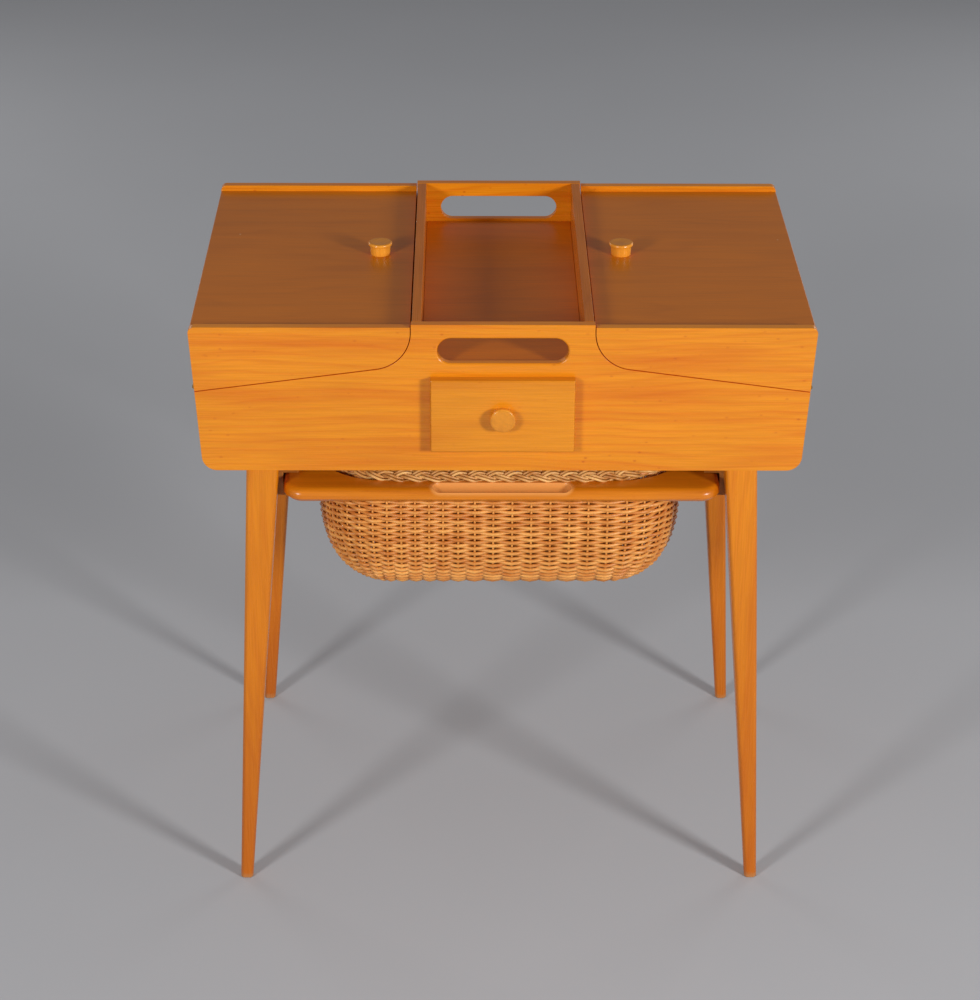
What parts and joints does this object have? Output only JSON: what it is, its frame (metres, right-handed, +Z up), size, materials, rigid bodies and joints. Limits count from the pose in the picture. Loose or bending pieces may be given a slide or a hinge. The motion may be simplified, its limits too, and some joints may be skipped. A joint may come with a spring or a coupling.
{
  "type": "sewing table",
  "caption": "Low wooden sewing table: fold-out lids beside a carrying tray with handle slots, a small drawer, and a pull-out frame holding a wicker basket between tapered legs.",
  "frame": {"origin": "on the floor under the middle of the whole object's box, drawer knob included", "axes": "+X to the right seen from the front, +Y to the back, +Z up"},
  "size_m": [0.5994, 0.4172, 0.6452],
  "materials": {
    "cherry_case": "cherry with a clear semi-gloss lacquer",
    "cherry_lids": "cherry with a clear semi-gloss lacquer",
    "cherry_tops": "cherry with a clear semi-gloss lacquer",
    "cherry_partition": "cherry with a clear semi-gloss lacquer",
    "cherry_tray": "cherry with a clear semi-gloss lacquer",
    "cherry_inside": "cherry, thinly lacquered",
    "cherry_legs": "cherry with a clear semi-gloss lacquer",
    "cherry_frame": "cherry with a clear semi-gloss lacquer",
    "cherry_drawer": "cherry with a clear semi-gloss lacquer",
    "cherry_knobs": "turned cherry with a clear semi-gloss lacquer",
    "hinge_brass": "rolled brass strip, dulled",
    "wicker": "peeled willow, varnished",
    "wicker_rim": "peeled willow, varnished"
  },
  "bodies": {
    "case": {"front_panel": "cherry_case", "back_panel": "cherry_case", "left_end_panel": "cherry_case", "right_end_panel": "cherry_case", "bottom_panel": "cherry_inside", "left_partition": "cherry_partition", "right_partition": "cherry_partition", "tray_floor": "cherry_tray", "left_drawer_runner": "cherry_inside", "right_drawer_runner": "cherry_inside", "left_hinge_case_leaf": "hinge_brass", "right_hinge_case_leaf": "hinge_brass", "left_hinge_pin": "hinge_brass", "right_hinge_pin": "hinge_brass", "front_left_leg": "cherry_legs", "front_right_leg": "cherry_legs", "back_left_leg": "cherry_legs", "back_right_leg": "cherry_legs", "left_rail": "cherry_inside", "right_rail": "cherry_inside"},
    "left_lid": {"left_lid_panel": "cherry_tops", "left_lid_front_cheek": "cherry_lids", "left_lid_back_cheek": "cherry_lids", "left_lid_end_panel": "cherry_lids", "left_lid_knob": "cherry_knobs", "left_hinge_lid_leaf": "hinge_brass"},
    "right_lid": {"right_lid_panel": "cherry_tops", "right_lid_front_cheek": "cherry_lids", "right_lid_back_cheek": "cherry_lids", "right_lid_end_panel": "cherry_lids", "right_lid_knob": "cherry_knobs", "right_hinge_lid_leaf": "hinge_brass"},
    "drawer": {"drawer_front": "cherry_drawer", "drawer_left_side": "cherry_inside", "drawer_right_side": "cherry_inside", "drawer_back": "cherry_inside", "drawer_bottom": "cherry_inside", "drawer_knob": "cherry_knobs"},
    "basket_tray": {"frame_front_rail": "cherry_frame", "frame_back_rail": "cherry_frame", "frame_left_side": "cherry_frame", "frame_right_side": "cherry_frame", "basket_body": "wicker", "basket_rim": "wicker_rim"}
  },
  "joints": [
    {"name": "left_lid_hinge", "type": "hinge", "parent": "case", "child": "left_lid", "pos_m": [-0.2972, 0.0106, 0.5715], "axis": [0, -1, 0], "range_deg": [0, 180]},
    {"name": "right_lid_hinge", "type": "hinge", "parent": "case", "child": "right_lid", "pos_m": [0.2972, 0.0106, 0.5715], "axis": [0, 1, 0], "range_deg": [0, 180]},
    {"name": "drawer_slide", "type": "slide", "parent": "case", "child": "drawer", "axis": [0, -1, 0], "range_m": [0, 0.23]},
    {"name": "basket_slide", "type": "slide", "parent": "case", "child": "basket_tray", "axis": [0, -1, 0], "range_m": [0, 0.2]}
  ]
}
